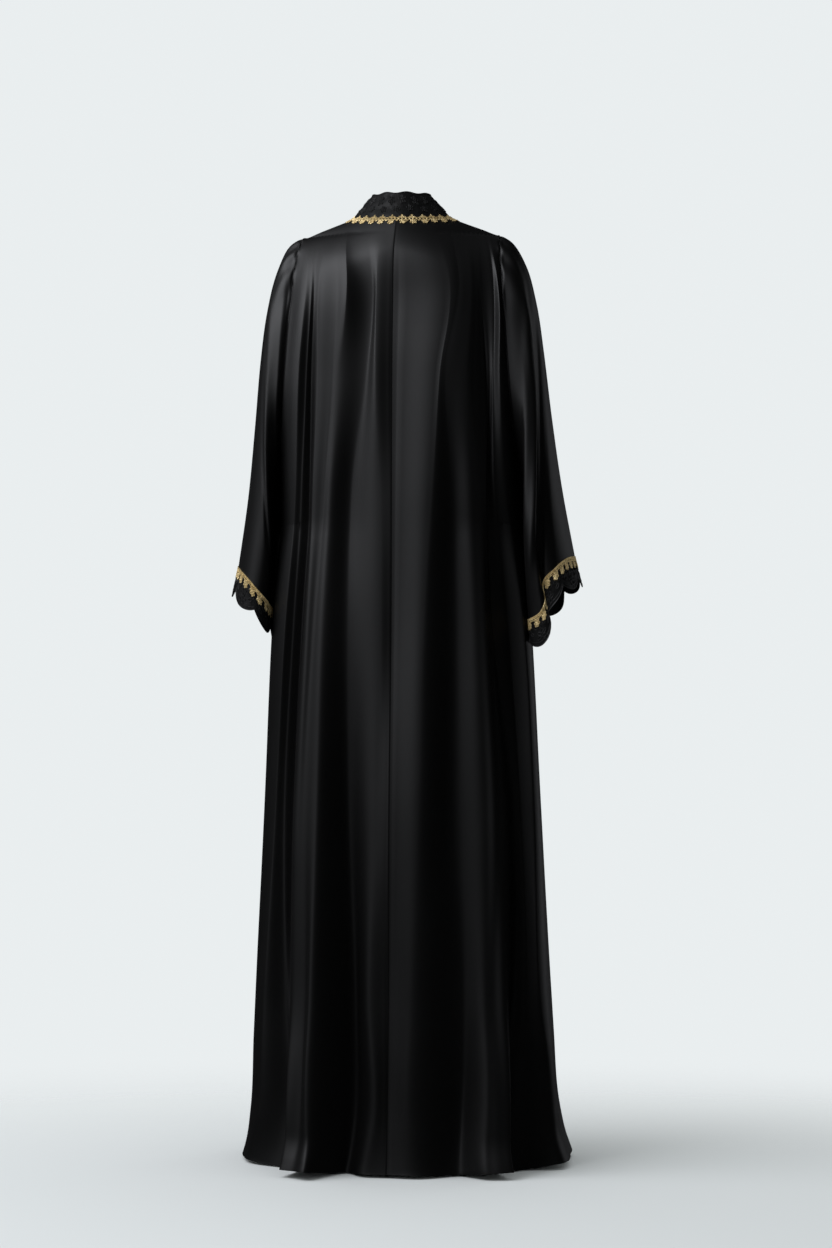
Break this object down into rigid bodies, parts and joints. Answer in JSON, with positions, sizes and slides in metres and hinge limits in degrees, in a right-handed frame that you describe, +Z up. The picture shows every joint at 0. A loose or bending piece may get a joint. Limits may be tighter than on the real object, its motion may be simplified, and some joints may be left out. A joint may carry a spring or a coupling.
{
  "type": "kaftan",
  "caption": "Floor-length black satin kaftan as worn, with deep-set wide sleeves, a standing lace neckband, scalloped lace cuffs and gold flower braid on neck and cuffs.",
  "frame": {"origin": "the point between the shoulders, level with the base of the neck, where the wearer's shoulders hold the garment up", "axes": "+Z up, -Y towards the garment's front, +X towards the wearer's left"},
  "size_m": [0.5582, 0.4233, 1.5251],
  "materials": {
    "satin": "black satin-backed crepe with a soft sheen",
    "lace": "matt black corded lace",
    "gold_braid": "antique gold metallic thread"
  },
  "bodies": {
    "root": {"back_left": "satin", "back_right": "satin", "front": "satin", "sleeve_left": "satin", "sleeve_right": "satin", "neckband": "lace", "cuff_lace_left": "lace", "cuff_lace_right": "lace", "neck_trim": "gold_braid", "cuff_trim_left": "gold_braid", "cuff_trim_right": "gold_braid"}
  },
  "joints": []
}
